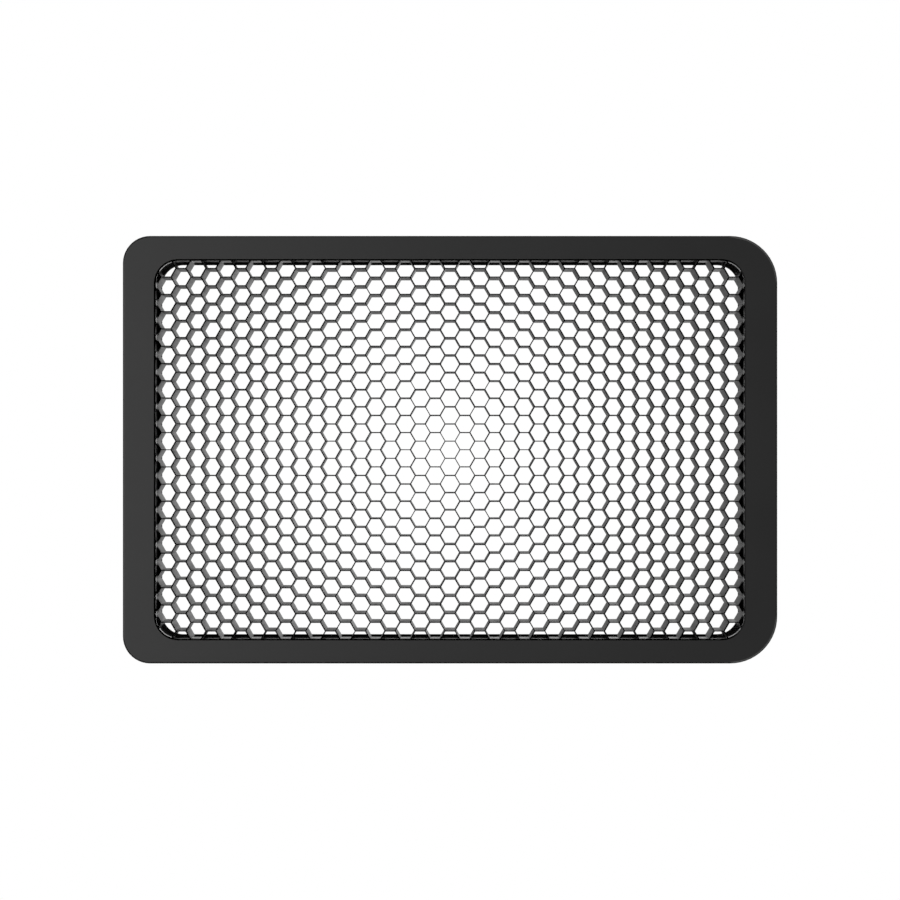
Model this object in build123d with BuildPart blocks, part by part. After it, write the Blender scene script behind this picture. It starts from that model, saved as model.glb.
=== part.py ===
from build123d import *
import os
from math import sqrt

# Honeycomb grid for a pocket-size LED light: a flat rectangular frame that
# carries a hexagonal foil core and clings to the light with bar magnets.
# The frame stands upright. +Z is up, +X is to the viewer's right and the lit
# front looks along -Y. The origin is the centre of the flat rear face, which
# is the face that seats on the light, so the frame fills y = -depth .. 0.
# "Height" below always means the distance in front of that rear face.

# ---------------------------------------------------------------- dimensions
frame_width = 120.24
frame_height = 78.56
frame_depth = 7.0
corner_left = 5.02          # outer corner radius at the left end
corner_right = 8.65         # outer corner radius at the right end
outer_edge_round = 0.38     # rounding of the front's outer edge
rear_edge_chamfer = 0.25

opening_width = 108.28      # clear opening of the bezel, inside its front lip
opening_height = 69.52
opening_corner = 4.25
inner_edge_round = 0.26     # rounding of the front's inner edge
cover_opening_width = 107.75    # clear opening of the cover, behind the core
cover_opening_height = 69.06
cover_opening_corner = 3.92

lip_thickness = 0.35        # front lip that hides the rim of the core
tongue_thickness = 0.30     # rear tongue of the cover, behind the rim
pocket_width = 109.34       # pocket that the core drops into
pocket_height = 70.00
pocket_corner = 4.40

outer_wall = 1.0            # wall thickness round the outside
inner_wall = 0.9            # wall between the core pocket and the channel
front_plate = 1.2           # thickness of the flat front
cover_thickness = 1.0
cover_rim = 0.6             # rim of the bezel left outside the cover
cover_clearance = 0.05

cell_pitch = 3.175          # across the flats of one cell
wall = 0.165                # thickness of every cell wall, finish included
core_width = 109.20         # the core as trimmed
core_height = 69.92
core_corner = 4.33

magnet_length = 12.0
magnet_width = 2.0
magnet_depth = 4.0
magnet_recess = 0.1         # how far each magnet sits inside the rear face
magnet_edge = 0.15
magnet_side_z = 17.0        # magnets on the short sides, above and below centre
magnet_long_x = 32.0        # magnets on the long sides, left and right of centre
window_gap = 0.05           # gap round a magnet in the cover
cradle_top = 3.4            # height reached by the walls that hold a magnet
cradle_wall = 0.8
seat_length = 7.0

screw_x = 55.2
screw_z = 35.5
boss_radius = 1.9
screw_radius = 0.79
screw_hole_radius = 0.80
screw_head_radius = 1.40
screw_length = 4.6
screw_pass_radius = 0.90
head_gap = 0.06             # countersink is this much wider than the head

# ------------------------------------------------------------ derived values
core_bottom = tongue_thickness
core_top = frame_depth - lip_thickness
channel_top = frame_depth - front_plate
island_width = pocket_width + 2 * inner_wall
island_height = pocket_height + 2 * inner_wall
island_corner = pocket_corner + inner_wall
channel_side_x = (frame_width / 2 - outer_wall + island_width / 2) / 2
channel_side_width = frame_width / 2 - outer_wall - island_width / 2
channel_long_z = (frame_height / 2 - outer_wall + island_height / 2) / 2
channel_long_width = frame_height / 2 - outer_wall - island_height / 2
magnet_top = magnet_recess + magnet_depth

os.makedirs("parts", exist_ok=True)


def layer(height):
    """Drawing plane at a height in front of the rear face, seen from the front."""
    return Plane.XZ.offset(height)


# Plane of the rear face, looking out of the back.
rear_face = Plane(origin=(0, 0, 0), x_dir=(-1, 0, 0), z_dir=(0, 1, 0))

long_side_spots = [
    (sx * magnet_long_x, sz * channel_long_z) for sx in (-1, 1) for sz in (-1, 1)
]
short_side_spots = [
    (sx * channel_side_x, sz * magnet_side_z) for sx in (-1, 1) for sz in (-1, 1)
]

# ---------------------------------------------------------------- front bezel
with BuildPart(rear_face.offset(-cover_thickness)) as front_bezel:
    # Solid block of the frame's outline.
    with BuildSketch(layer(0)) as outline:
        Rectangle(frame_width, frame_height)
        fillet(outline.vertices().group_by(Axis.X)[0], corner_left)
        fillet(outline.vertices().group_by(Axis.X)[-1], corner_right)
    extrude(amount=frame_depth)
    fillet(
        front_bezel.faces().sort_by(Axis.Y)[0].outer_wire().edges(), outer_edge_round
    )
    chamfer(
        front_bezel.faces().sort_by(Axis.Y)[-1].outer_wire().edges(),
        rear_edge_chamfer,
    )
    # Opening that the light comes through, with its rounded front edge.
    with BuildSketch(layer(0)):
        RectangleRounded(opening_width, opening_height, opening_corner)
    extrude(amount=frame_depth, mode=Mode.SUBTRACT)
    fillet(
        front_bezel.faces().sort_by(Axis.Y)[0].inner_wires()[0].edges(),
        inner_edge_round,
    )
    # Pocket for the core, up to the underside of the lip.
    with BuildSketch(layer(0)):
        RectangleRounded(pocket_width, pocket_height, pocket_corner)
    extrude(amount=core_top, mode=Mode.SUBTRACT)
    # Seat for the cover, inside the rear rim.
    with BuildSketch(layer(0)) as cover_seat:
        Rectangle(frame_width - 2 * cover_rim, frame_height - 2 * cover_rim)
        fillet(cover_seat.vertices().group_by(Axis.X)[0], corner_left - cover_rim)
        fillet(cover_seat.vertices().group_by(Axis.X)[-1], corner_right - cover_rim)
    extrude(amount=cover_thickness, mode=Mode.SUBTRACT)
    # Hollow channel between the outer and the inner wall.
    with BuildSketch(layer(0)) as channel:
        Rectangle(frame_width - 2 * outer_wall, frame_height - 2 * outer_wall)
        fillet(channel.vertices().group_by(Axis.X)[0], corner_left - outer_wall)
        fillet(channel.vertices().group_by(Axis.X)[-1], corner_right - outer_wall)
        RectangleRounded(
            island_width, island_height, island_corner, mode=Mode.SUBTRACT
        )
    extrude(amount=channel_top, mode=Mode.SUBTRACT)
    # Ribs that each magnet lands on, joined to both walls and the front plate.
    with BuildSketch(layer(magnet_top)):
        with Locations(*long_side_spots):
            Rectangle(seat_length, channel_long_width + 0.6)
        with Locations(*short_side_spots):
            Rectangle(channel_side_width + 0.6, seat_length)
    extrude(amount=channel_top - magnet_top + 0.3)
    # Screw bosses in the four corners of the channel.
    with BuildSketch(layer(cover_thickness)):
        with GridLocations(2 * screw_x, 2 * screw_z, 2, 2):
            Circle(boss_radius)
    extrude(amount=channel_top - cover_thickness + 0.3)
    with GridLocations(2 * screw_x, 2 * screw_z, 2, 2):
        Hole(radius=screw_hole_radius, depth=screw_length - cover_thickness + 0.3)
front_bezel.part.label = "front_bezel"
export_step(front_bezel.part, "parts/front_bezel.step")

# ----------------------------------------------------------------- rear cover
with BuildPart(rear_face) as rear_cover:
    with BuildSketch(layer(0)) as plate:
        inset = cover_rim + cover_clearance
        Rectangle(frame_width - 2 * inset, frame_height - 2 * inset)
        fillet(plate.vertices().group_by(Axis.X)[0], corner_left - inset)
        fillet(plate.vertices().group_by(Axis.X)[-1], corner_right - inset)
        RectangleRounded(
            cover_opening_width,
            cover_opening_height,
            cover_opening_corner,
            mode=Mode.SUBTRACT,
        )
    extrude(amount=cover_thickness)
    # Step that leaves a thin tongue behind the rim of the core.
    with BuildSketch(layer(tongue_thickness)):
        RectangleRounded(pocket_width, pocket_height, pocket_corner)
    extrude(amount=cover_thickness, mode=Mode.SUBTRACT)
    # Walls that hold each magnet by its ends, and on the short sides all round.
    with BuildSketch(layer(cover_thickness)):
        with Locations(*long_side_spots):
            Rectangle(
                magnet_length + 2 * (window_gap + cradle_wall),
                channel_long_width - 0.2,
            )
        with Locations(*short_side_spots):
            Rectangle(
                channel_side_width - 0.2,
                magnet_length + 2 * (window_gap + cradle_wall),
            )
    extrude(amount=cradle_top - cover_thickness)
    with BuildSketch(layer(cover_thickness)):
        with Locations(*long_side_spots):
            Rectangle(magnet_length + 2 * window_gap, channel_long_width)
    extrude(amount=cradle_top, mode=Mode.SUBTRACT)
    # Windows that let the magnets reach the rear face.
    with BuildSketch(layer(0)):
        with Locations(*long_side_spots):
            Rectangle(magnet_length + 2 * window_gap, magnet_width + 2 * window_gap)
        with Locations(*short_side_spots):
            Rectangle(magnet_width + 2 * window_gap, magnet_length + 2 * window_gap)
    extrude(amount=cradle_top, mode=Mode.SUBTRACT)
    with GridLocations(2 * screw_x, 2 * screw_z, 2, 2):
        CounterSinkHole(
            radius=screw_pass_radius,
            counter_sink_radius=screw_head_radius + head_gap,
            counter_sink_angle=90,
        )
rear_cover.part.label = "rear_cover"
export_step(rear_cover.part, "parts/rear_cover.step")

# -------------------------------------------------------------------- magnets
magnet_places = {
    "magnet_top_left": (-magnet_long_x, channel_long_z, False),
    "magnet_top_right": (magnet_long_x, channel_long_z, False),
    "magnet_bottom_left": (-magnet_long_x, -channel_long_z, False),
    "magnet_bottom_right": (magnet_long_x, -channel_long_z, False),
    "magnet_left_upper": (-channel_side_x, magnet_side_z, True),
    "magnet_left_lower": (-channel_side_x, -magnet_side_z, True),
    "magnet_right_upper": (channel_side_x, magnet_side_z, True),
    "magnet_right_lower": (channel_side_x, -magnet_side_z, True),
}
for magnet_name, (centre_x, centre_z, upright) in magnet_places.items():
    with BuildPart() as magnet:
        with BuildSketch(layer(magnet_recess)):
            with Locations((centre_x, centre_z)):
                if upright:
                    Rectangle(magnet_width, magnet_length)
                else:
                    Rectangle(magnet_length, magnet_width)
        extrude(amount=magnet_depth)
        chamfer(magnet.edges(), magnet_edge)
    magnet.part.label = magnet_name
    export_step(magnet.part, f"parts/{magnet_name}.step")

# --------------------------------------------------------------- cover screws
with BuildPart() as cover_screws:
    head_height = screw_head_radius - screw_radius
    for sx in (-1, 1):
        for sz in (-1, 1):
            spot = (sx * screw_x, sz * screw_z)
            # Shank, its pointed end and the countersunk head.
            with BuildSketch(layer(head_height)):
                with Locations(spot):
                    Circle(screw_radius)
            extrude(amount=screw_length - head_height - 0.4)
            with BuildSketch(layer(screw_length - 0.4)):
                with Locations(spot):
                    Circle(screw_radius)
            extrude(amount=0.4, taper=45)
            with BuildSketch(layer(0.02)):
                with Locations(spot):
                    Circle(screw_head_radius)
            extrude(amount=head_height - 0.02, taper=45)
            # Cross recess for the driver.
            with BuildSketch(layer(0)):
                with Locations(spot):
                    Rectangle(1.7, 0.34)
                    Rectangle(0.34, 1.7)
            extrude(amount=0.42, taper=12, mode=Mode.SUBTRACT)
cover_screws.part.label = "cover_screws"
export_step(cover_screws.part, "parts/cover_screws.step")

# ------------------------------------------------------------- honeycomb core
# Each ribbon is one corrugated strip of foil that runs the whole width. It
# rises from one row of flats to the next and falls back again. Neighbouring
# ribbons are bonded flat to flat. Along its flats a ribbon is rolled to half
# its thickness, so a bonded level wall is as thin as a sloping one and every
# cell is a regular hexagon.
column_pitch = cell_pitch * sqrt(3) / 2
row_pitch = cell_pitch / 2
cell_corner = (cell_pitch - wall) / sqrt(3)     # centre of a cell to a corner
columns = int(core_width / 2 / column_pitch) + 2
reach = columns * column_pitch
ribbon_count = 2 * round(core_height / 2 / row_pitch)


def capped(points):
    """The part of a ribbon's side within reach, carried level to both ends."""
    inside = [point for point in points if abs(point[0]) <= reach]
    return [(-reach, inside[0][1]), *inside, (reach, inside[-1][1])]


def ribbon_outline(row):
    """Closed outline of the ribbon that lies between row and row + 1."""
    low, high = row * row_pitch, (row + 1) * row_pitch
    under, over = [], []
    for column in range(-columns, columns + 1):
        if (row - column) % 2:
            # A cell stands above the ribbon here, so the flat is the lower one.
            side, flat, bond = over, low + wall / 2, high
        else:
            side, flat, bond = under, high - wall / 2, low
        x = column * column_pitch
        side.append((x - cell_corner, bond))
        side.append((x - cell_corner / 2, flat))
        side.append((x + cell_corner / 2, flat))
        side.append((x + cell_corner, bond))
    return capped(under) + capped(over)[::-1]


for number in range(ribbon_count):
    row = number - ribbon_count // 2
    with BuildPart() as ribbon:
        with BuildSketch(layer(core_bottom)):
            with BuildLine():
                Polyline(*ribbon_outline(row), close=True)
            make_face()
            RectangleRounded(
                core_width, core_height, core_corner, mode=Mode.INTERSECT
            )
        extrude(amount=core_top - core_bottom)
    ribbon_name = f"core_ribbon_{number + 1:02d}"
    ribbon.part.label = ribbon_name
    export_step(ribbon.part, f"parts/{ribbon_name}.step")
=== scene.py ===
import math

import bpy
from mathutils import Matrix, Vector


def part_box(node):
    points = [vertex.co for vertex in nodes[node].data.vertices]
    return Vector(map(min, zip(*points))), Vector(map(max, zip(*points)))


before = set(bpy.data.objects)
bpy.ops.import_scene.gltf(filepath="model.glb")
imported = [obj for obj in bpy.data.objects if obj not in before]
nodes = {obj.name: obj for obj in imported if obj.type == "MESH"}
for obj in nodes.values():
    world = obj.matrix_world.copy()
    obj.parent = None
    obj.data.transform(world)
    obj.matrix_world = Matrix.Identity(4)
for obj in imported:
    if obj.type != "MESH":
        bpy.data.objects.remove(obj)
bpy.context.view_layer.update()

# ------------------------------------------------------------------ measures
# All in metres, in the part's own frame: +X right, +Z up, front towards -Y.
bezel_lo, bezel_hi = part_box("front_bezel")
front_y = bezel_lo.y
mid_x = (bezel_lo.x + bezel_hi.x) / 2
mid_z = (bezel_lo.z + bezel_hi.z) / 2
camera_gap = 0.3491          # from the front face to the lens
view_width = 0.16521         # width of the picture at the front face
SENSOR = 36.0


# ------------------------------------------------------------- small helpers
def new_material(name):
    mat = bpy.data.materials.new(name)
    mat.use_nodes = True
    tree = mat.node_tree
    tree.nodes.clear()
    out = tree.nodes.new("ShaderNodeOutputMaterial")
    bsdf = tree.nodes.new("ShaderNodeBsdfPrincipled")
    tree.links.new(bsdf.outputs["BSDF"], out.inputs["Surface"])
    return mat, tree, bsdf


def node(tree, kind, **values):
    n = tree.nodes.new(kind)
    for key, value in values.items():
        setattr(n, key, value)
    return n


def coords(tree):
    """Object coordinates, which are the part's own frame in metres."""
    return node(tree, "ShaderNodeTexCoord").outputs["Object"]


def maths(tree, op, a, b=None):
    n = node(tree, "ShaderNodeMath", operation=op)
    for socket, value in zip(n.inputs, (a, b)):
        if value is None:
            continue
        if isinstance(value, (int, float)):
            socket.default_value = value
        else:
            tree.links.new(value, socket)
    return n.outputs[0]


def stretch(tree, vector, scale):
    n = node(tree, "ShaderNodeMapping")
    n.inputs["Scale"].default_value = scale
    tree.links.new(vector, n.inputs["Vector"])
    return n.outputs["Vector"]


def noise(tree, vector, scale, detail=3.0, rough=0.55):
    n = node(tree, "ShaderNodeTexNoise")
    n.inputs["Scale"].default_value = scale
    n.inputs["Detail"].default_value = detail
    n.inputs["Roughness"].default_value = rough
    tree.links.new(vector, n.inputs["Vector"])
    return n.outputs["Fac"]


def ramp(tree, fac, stops):
    n = node(tree, "ShaderNodeValToRGB")
    cr = n.color_ramp
    while len(cr.elements) < len(stops):
        cr.elements.new(0.5)
    for e, (pos, col) in zip(cr.elements, stops):
        e.position = pos
        e.color = (*col, 1.0)
    tree.links.new(fac, n.inputs["Fac"])
    return n.outputs["Color"]


def grey(v):
    return (v, v, v)


def remap(tree, fac, lo, hi, frm=(0.3, 0.7), smooth=False):
    n = node(tree, "ShaderNodeMapRange")
    n.interpolation_type = "SMOOTHSTEP" if smooth else "LINEAR"
    n.inputs["From Min"].default_value = frm[0]
    n.inputs["From Max"].default_value = frm[1]
    n.inputs["To Min"].default_value = lo
    n.inputs["To Max"].default_value = hi
    tree.links.new(fac, n.inputs["Value"])
    return n.outputs["Result"]


def blend(tree, fac, a, b):
    """Colour a where fac is 0, colour b where it is 1."""
    n = node(tree, "ShaderNodeMix", data_type="RGBA")
    for socket, value in ((n.inputs[6], a), (n.inputs[7], b)):
        if isinstance(value, tuple):
            socket.default_value = (*value, 1.0)
        else:
            tree.links.new(value, socket)
    tree.links.new(fac, n.inputs[0])
    return n.outputs[2]


def bump(tree, height, strength, distance, normal=None):
    n = node(tree, "ShaderNodeBump")
    n.inputs["Strength"].default_value = strength
    n.inputs["Distance"].default_value = distance
    tree.links.new(height, n.inputs["Height"])
    if normal is not None:
        tree.links.new(normal, n.inputs["Normal"])
    return n.outputs["Normal"]


def split(tree, vector):
    n = node(tree, "ShaderNodeSeparateXYZ")
    tree.links.new(vector, n.inputs[0])
    return n.outputs


def rounded_rect(tree, xyz, half_x, half_z, radius):
    """Distance outwards from a rounded rectangle in the X-Z plane, in metres."""
    qx = maths(tree, "SUBTRACT", maths(tree, "ABSOLUTE", xyz[0]), half_x - radius)
    qz = maths(tree, "SUBTRACT", maths(tree, "ABSOLUTE", xyz[2]), half_z - radius)
    ox, oz = maths(tree, "MAXIMUM", qx, 0.0), maths(tree, "MAXIMUM", qz, 0.0)
    far = maths(tree, "SQRT", maths(tree, "ADD", maths(tree, "MULTIPLY", ox, ox), maths(tree, "MULTIPLY", oz, oz)))
    near = maths(tree, "MINIMUM", maths(tree, "MAXIMUM", qx, qz), 0.0)
    return maths(tree, "SUBTRACT", maths(tree, "ADD", far, near), radius)


def step(tree, value, lo, hi):
    """0 below lo, 1 above hi, smooth between them."""
    return remap(tree, value, 0.0, 1.0, (lo, hi), smooth=True)


def assign(names, mat):
    for n in names:
        o = nodes[n]
        o.data.materials.clear()
        o.data.materials.append(mat)


# ------------------------------------------------------------------ materials
# Bezel: smooth satin black plastic with a very fine moulded grain. The rounded lip of the opening
# and the back of the core pocket are painted shade, a black with no reflection; the front of the
# pocket wall is a painted reflection in lighter grey.
OUTLINE = (0.06012, 0.03928)
OPENING = (0.05414, 0.03476, 0.00425)   # half width, half height, corner of the front opening
LIP_ROUND = 0.00026
bezel_mat, t, b = new_material("bezel_satin_black")
co = coords(t)
xyz = split(t, co)
fine = noise(t, co, 9000.0, 2.0)
slow = noise(t, co, 60.0, 2.0)
outwards = rounded_rect(t, xyz, *OPENING)
depth = maths(t, "SUBTRACT", xyz[1], front_y)          # behind the front face
# Painted shade: a black line with no reflection round the rounded lip of the opening, weaker towards the right.
in_front = step(t, depth, 0.0004, 0.0003)
lip = maths(t, "MULTIPLY", in_front, step(t, outwards, LIP_ROUND, LIP_ROUND - 0.00006))
lip = maths(t, "MULTIPLY", lip, remap(t, xyz[0], 1.0, 0.45, (0.0505, 0.0540), smooth=True))
# Painted shade: the pocket wall is near-black behind a depth of 4.1 to 5.4 mm, and in the corners also in front of
# about 3.2 mm.
behind_lip = step(t, depth, 0.0003, 0.0004)
pocket = maths(t, "MULTIPLY", behind_lip, step(t, outwards, 0.0012, 0.0010))
side = maths(t, "ABSOLUTE", xyz[0])
at_sides = step(t, side, 0.0545, 0.0546)
at_top = step(t, xyz[2], 0.0349, 0.03496)
limit = maths(t, "ADD", maths(t, "MULTIPLY", at_sides, 0.0010), maths(t, "MULTIPLY", at_top, 0.0013))
limit = maths(t, "ADD", limit, 0.0041)
deep = step(t, maths(t, "SUBTRACT", depth, limit), -0.0002, 0.0002)
at_corners = maths(t, "MULTIPLY", step(t, side, 0.0500, 0.0510), maths(t, "SUBTRACT", 1.0, at_sides))
shallow = maths(t, "MULTIPLY", at_corners, step(t, depth, 0.0033, 0.0031))
pocket_shade = maths(t, "MULTIPLY", pocket, maths(t, "MAXIMUM", deep, shallow))
pocket_highlight = maths(t, "SUBTRACT", pocket, pocket_shade)
# The outer edge: painted shade as a darker line round the two sharper corners and along the bottom, and a painted
# highlight line round the two rounder corners.
rim_left = rounded_rect(t, xyz, *OUTLINE, 0.00502)
rim_right = rounded_rect(t, xyz, *OUTLINE, 0.00865)
high = maths(t, "ABSOLUTE", xyz[2])
edge_left = maths(t, "MULTIPLY", step(t, rim_left, -0.00036, -0.00028), step(t, xyz[0], -0.0546, -0.0568))
edge_left = maths(t, "MULTIPLY", edge_left, step(t, high, 0.0336, 0.0358))
edge_right = maths(t, "MULTIPLY", step(t, rim_right, -0.00042, -0.00036), step(t, rim_right, -0.00013, -0.00020))
edge_right = maths(t, "MULTIPLY", edge_right, step(t, xyz[0], 0.0510, 0.0525))
edge_right = maths(t, "MULTIPLY", edge_right, step(t, high, 0.0302, 0.0320))
front_part = step(t, depth, 0.0008, 0.0004)
edge_left = maths(t, "MULTIPLY", maths(t, "MULTIPLY", edge_left, front_part), 0.55)
edge_right = maths(t, "MULTIPLY", edge_right, front_part)
edge_low = maths(t, "MULTIPLY", step(t, rim_left, -0.00036, -0.00022), step(t, xyz[2], -0.0384, -0.0389))
edge_low = maths(t, "MULTIPLY", edge_low, step(t, xyz[0], 0.0530, 0.0480))
edge_low = maths(t, "MULTIPLY", maths(t, "MULTIPLY", edge_low, front_part), 0.5)
# Painted shade: black with no reflection on the lip and on the left and bottom edges.
black = maths(t, "MAXIMUM", lip, maths(t, "MAXIMUM", edge_left, edge_low))
colour = ramp(t, slow, [(0.35, grey(0.0275)), (0.65, grey(0.0295))])
# Painted highlight: a lighter line just inside the edge of the two rounder right corners.
colour = blend(t, edge_right, colour, grey(0.14))
colour = blend(t, pocket_shade, colour, grey(0.006))
colour = blend(t, black, colour, grey(0.001))
# Painted reflection: the rest of the pocket wall is lighter grey, darkest along the top and bottom, paler at the sides
# and palest in the corners, most of all on the right, with a metallic sheen in the corners and on the right side.
at_right = step(t, xyz[0], -0.01, 0.01)
painted_highlight = blend(t, at_corners, grey(0.17), blend(t, at_right, grey(0.75), grey(0.95)))
painted_highlight = blend(t, at_sides, painted_highlight, grey(0.45))
colour = blend(t, pocket_highlight, colour, painted_highlight)
t.links.new(colour, b.inputs["Base Color"])
shine = maths(t, "MULTIPLY", at_corners, remap(t, xyz[0], 0.9, 1.0, (-0.01, 0.01)))
shine = maths(t, "ADD", shine, maths(t, "MULTIPLY", at_sides, at_right))
metal = maths(t, "MAXIMUM", black, maths(t, "MULTIPLY", pocket_highlight, shine))
metal = maths(t, "MAXIMUM", metal, maths(t, "MULTIPLY", pocket_shade, 0.7))
gloss = remap(t, slow, 0.53, 0.57)
gloss = maths(t, "ADD", gloss, maths(t, "MULTIPLY", maths(t, "MAXIMUM", black, pocket_shade), 0.40))
gloss = maths(t, "SUBTRACT", gloss, maths(t, "MULTIPLY", pocket_highlight, 0.12))
t.links.new(gloss, b.inputs["Roughness"])
t.links.new(bump(t, fine, 0.10, 0.000004), b.inputs["Normal"])
t.links.new(metal, b.inputs["Metallic"])
b.inputs["Specular IOR Level"].default_value = 0.5
assign(["front_bezel"], bezel_mat)

# Cover: the same plastic with a coarser, spark-eroded texture, a little
# polished where it has rubbed against the light.
cover_mat, t, b = new_material("cover_matt_black")
co = coords(t)
grain = noise(t, co, 2600.0, 2.0, 0.6)
pits = noise(t, co, 5200.0, 1.0)
slow = noise(t, co, 80.0, 3.0)
tone = ramp(t, slow, [(0.35, grey(0.021)), (0.65, grey(0.027))])
rubbed = maths(t, "MULTIPLY", step(t, grain, 0.55, 0.68), step(t, slow, 0.42, 0.62))
tone = blend(t, rubbed, tone, grey(0.040))
# The shelf under the core is painted a lighter grey in the four corners, painted light where it sits in shade.
xyz = split(t, co)
facing = split(t, node(t, "ShaderNodeTexCoord").outputs["Normal"])
shelf = maths(t, "MULTIPLY", step(t, facing[1], -0.6, -0.9), step(t, xyz[1], -0.0006, -0.0004))
shelf = maths(t, "MULTIPLY", shelf, step(t, maths(t, "ABSOLUTE", xyz[0]), 0.0494, 0.0504))
shelf = maths(t, "MULTIPLY", shelf, step(t, maths(t, "ABSOLUTE", xyz[2]), 0.0298, 0.0306))
t.links.new(blend(t, shelf, tone, grey(0.35)), b.inputs["Base Color"])
rough = remap(t, grain, 0.66, 0.56)
t.links.new(maths(t, "SUBTRACT", rough, maths(t, "MULTIPLY", rubbed, 0.12)), b.inputs["Roughness"])
height = maths(t, "ADD", grain, maths(t, "MULTIPLY", pits, 0.4))
t.links.new(bump(t, height, 0.60, 0.00004), b.inputs["Normal"])
assign(["rear_cover"], cover_mat)

# Core: black anodised foil. Its cut front edges are set to a black with no reflection; the first half
# millimetre of the sloping walls behind them and the back of the outermost level walls are the same
# black as painted shade. The foil ends by the lip and the middle of the outermost level walls are painted highlights.
foil_mat, t, b = new_material("core_black_foil")
co = coords(t)
xyz = split(t, co)
streak = noise(t, stretch(t, co, (1.0, 0.12, 1.0)), 900.0, 3.0)
face = ramp(t, streak, [(0.35, grey(0.045)), (0.65, grey(0.062))])
normal = split(t, node(t, "ShaderNodeTexCoord").outputs["Normal"])
cut = step(t, normal[1], -0.6, -0.9)
sloping = step(t, maths(t, "ABSOLUTE", normal[0]), 0.5, 0.7)
core_depth = maths(t, "SUBTRACT", xyz[1], front_y + 0.00035)
# Painted highlight: pale, partly metallic glints at the foil ends by the lip, a little weaker on the right.
end = step(t, maths(t, "ABSOLUTE", xyz[0]), 0.0537, 0.0539)
end = maths(t, "MULTIPLY", end, remap(t, xyz[0], 1.0, 0.8, (-0.01, 0.01)))
end = maths(t, "MULTIPLY", end, step(t, core_depth, 0.0009, 0.0005))
# Painted highlight: the middle depth of the outermost level walls is pale and metallic.
outer_flat = step(t, maths(t, "ABSOLUTE", xyz[2]), 0.03465, 0.03475)
deep_flat = maths(t, "MULTIPLY", outer_flat, step(t, core_depth, 0.0048, 0.0052))
outer_flat = maths(t, "MULTIPLY", outer_flat, step(t, core_depth, 0.0016, 0.0022))
outer_flat = maths(t, "MULTIPLY", outer_flat, step(t, core_depth, 0.0046, 0.0041))
# Painted shade: the front of the sloping walls and the back of the outermost level walls are set black.
rim = maths(t, "MULTIPLY", sloping, step(t, core_depth, 0.0008, 0.0004))
dark = maths(t, "MAXIMUM", cut, rim)
dark = maths(t, "MULTIPLY", dark, maths(t, "SUBTRACT", 1.0, end))
dark = maths(t, "MAXIMUM", dark, deep_flat)
face = blend(t, end, face, grey(0.45))
face = blend(t, outer_flat, face, grey(0.44))
painted_highlight = maths(t, "MAXIMUM", maths(t, "MULTIPLY", end, 0.4), outer_flat)
t.links.new(blend(t, dark, face, grey(0.001)), b.inputs["Base Color"])
gloss = remap(t, streak, 0.40, 0.52)
t.links.new(maths(t, "ADD", gloss, maths(t, "MULTIPLY", dark, 0.45)), b.inputs["Roughness"])
t.links.new(maths(t, "MAXIMUM", dark, painted_highlight), b.inputs["Metallic"])
b.inputs["Specular IOR Level"].default_value = 0.5
assign([n for n in nodes if n.startswith("core_ribbon")], foil_mat)

# Magnets: bright nickel plate with a faint orange peel, fine hairline
# scratches in two directions and a few dull patches.
magnet_mat, t, b = new_material("magnet_nickel_plate")
co = coords(t)
hair_x = noise(t, stretch(t, co, (0.06, 1.0, 1.0)), 9000.0, 2.0)
hair_z = noise(t, stretch(t, co, (1.0, 1.0, 0.06)), 9000.0, 2.0)
hair = maths(t, "MAXIMUM", step(t, hair_x, 0.60, 0.72), step(t, hair_z, 0.60, 0.72))
dull = noise(t, co, 420.0, 4.0, 0.6)
peel = noise(t, co, 1500.0, 1.0)
plate = ramp(t, dull, [(0.36, (0.40, 0.385, 0.355)), (0.60, (0.55, 0.535, 0.505))])
t.links.new(blend(t, maths(t, "MULTIPLY", hair, 0.5), plate, (0.30, 0.29, 0.27)), b.inputs["Base Color"])
rough = remap(t, dull, 0.30, 0.16)
t.links.new(maths(t, "ADD", rough, maths(t, "MULTIPLY", hair, 0.14)), b.inputs["Roughness"])
height = maths(t, "SUBTRACT", peel, maths(t, "MULTIPLY", hair, 0.25))
t.links.new(bump(t, height, 0.30, 0.00002), b.inputs["Normal"])
b.inputs["Metallic"].default_value = 1.0
assign([n for n in nodes if n.startswith("magnet_")], magnet_mat)

# Screws: black oxide steel, brighter where the driver has touched the recess.
screw_mat, t, b = new_material("screw_black_oxide")
co = coords(t)
haze = noise(t, co, 2500.0, 3.0)
scuff = noise(t, co, 6000.0, 2.0)
oxide = ramp(t, haze, [(0.3, grey(0.07)), (0.7, grey(0.13))])
t.links.new(blend(t, step(t, scuff, 0.58, 0.70), oxide, grey(0.24)), b.inputs["Base Color"])
t.links.new(remap(t, haze, 0.30, 0.44), b.inputs["Roughness"])
t.links.new(bump(t, scuff, 0.30, 0.00001), b.inputs["Normal"])
b.inputs["Metallic"].default_value = 0.9
assign(["cover_screws"], screw_mat)

# --------------------------------------------------------------------- camera
cam_data = bpy.data.cameras.new("camera")
cam_data.sensor_width = SENSOR
cam_data.lens = SENSOR * camera_gap / view_width
cam_data.clip_start = 0.01
cam_data.clip_end = 20.0
cam = bpy.data.objects.new("camera", cam_data)
bpy.context.scene.collection.objects.link(cam)
cam.location = (mid_x - 0.0000073, front_y - camera_gap, mid_z - 0.000053)
cam.rotation_euler = (math.radians(90), 0, 0)
bpy.context.scene.camera = cam

# ---------------------------------------------------------------------- stage
scene = bpy.context.scene
scene.view_settings.view_transform = "Standard"
scene.view_settings.look = "None"
scene.view_settings.exposure = 0.0
scene.view_settings.gamma = 1.0


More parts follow.
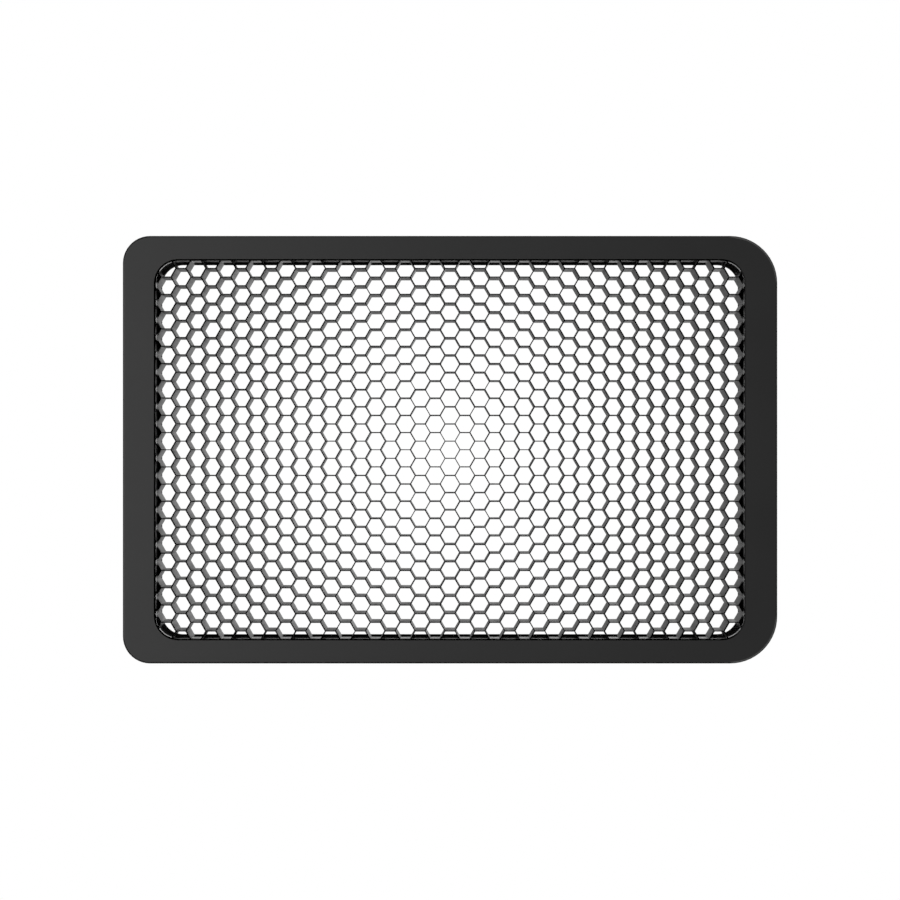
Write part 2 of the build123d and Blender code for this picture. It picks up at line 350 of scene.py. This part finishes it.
def white_card(name, strength):
    mat = bpy.data.materials.new(name)
    mat.use_nodes = True
    tr = mat.node_tree
    tr.nodes.clear()
    out = tr.nodes.new("ShaderNodeOutputMaterial")
    em = tr.nodes.new("ShaderNodeEmission")
    em.inputs["Color"].default_value = (1, 1, 1, 1)
    em.inputs["Strength"].default_value = strength
    tr.links.new(em.outputs["Emission"], out.inputs["Surface"])
    return mat


def seen_only(obj):
    """A stage piece that the lens sees but that doesn't light the object."""
    obj.visible_diffuse = False
    obj.visible_glossy = False
    obj.visible_shadow = False
    obj.visible_transmission = False


bpy.ops.mesh.primitive_uv_sphere_add(segments=48, ring_count=24, radius=6.0)
dome = bpy.context.object
dome.name = "backdrop"
dome.data.materials.append(white_card("backdrop_white", 1.0))
seen_only(dome)

bpy.ops.mesh.primitive_plane_add(size=4.0, location=(0, 0, bezel_lo.z - 0.0002))
floor = bpy.context.object
floor.name = "floor"
floor.data.materials.append(white_card("floor_white", 1.0))
seen_only(floor)

# --------------------------------------------------------------------- lights
# The studio round the object: a wide white background behind it, paler at the
# sides, and dark in front.
world = bpy.data.worlds.new("studio")
scene.world = world
world.use_nodes = True
wt = world.node_tree
wt.nodes.clear()
wout = wt.nodes.new("ShaderNodeOutputWorld")
bg = wt.nodes.new("ShaderNodeBackground")
sky = split(wt, node(wt, "ShaderNodeTexCoord").outputs["Generated"])
behind = remap(wt, sky[1], 0.0, 1.0, (0.30, 0.75), smooth=True)
off = maths(wt, "SQRT", maths(wt, "ADD", maths(wt, "MULTIPLY", sky[0], sky[0]), maths(wt, "MULTIPLY", sky[2], sky[2])))
off = maths(wt, "MAXIMUM", off, 0.04)
right, up = maths(wt, "DIVIDE", sky[0], off), maths(wt, "DIVIDE", sky[2], off)
tilt = maths(wt, "SUBTRACT", maths(wt, "MULTIPLY", right, right), maths(wt, "MULTIPLY", up, up))
tone = maths(wt, "ADD", maths(wt, "MULTIPLY", right, 0.338), maths(wt, "MULTIPLY", up, 0.093))
tone = maths(wt, "ADD", tone, maths(wt, "MULTIPLY", tilt, 0.074))
tone = maths(wt, "ADD", tone, 0.80)
wings = maths(wt, "MULTIPLY", step(wt, sky[1], -0.15, 0.10), step(wt, sky[1], 0.55, 0.25))
glow = maths(wt, "ADD", maths(wt, "MULTIPLY", behind, tone), 0.02)
glow = maths(wt, "ADD", glow, maths(wt, "MULTIPLY", wings, 0.35))
wt.links.new(glow, bg.inputs["Strength"])
bg.inputs["Color"].default_value = (1, 1, 1, 1)
wt.links.new(bg.outputs["Background"], wout.inputs["Surface"])


def softbox(name, place, target, size_x, size_y, power):
    data = bpy.data.lights.new(name, "AREA")
    data.shape = "RECTANGLE"
    data.size, data.size_y = size_x, size_y
    data.energy = power
    ob = bpy.data.objects.new(name, data)
    scene.collection.objects.link(ob)
    ob.location = place
    ob.rotation_mode = "QUATERNION"
    ob.rotation_quaternion = (Vector(target) - Vector(place)).to_track_quat("-Z", "Y")
    return ob


softbox("key_left", (-0.46, -0.66, 0.0), (0, 0, 0), 0.50, 1.00, 4.90)
softbox("fill_right", (0.76, -0.34, 0.0), (0, 0, 0), 0.50, 0.90, 0.25)
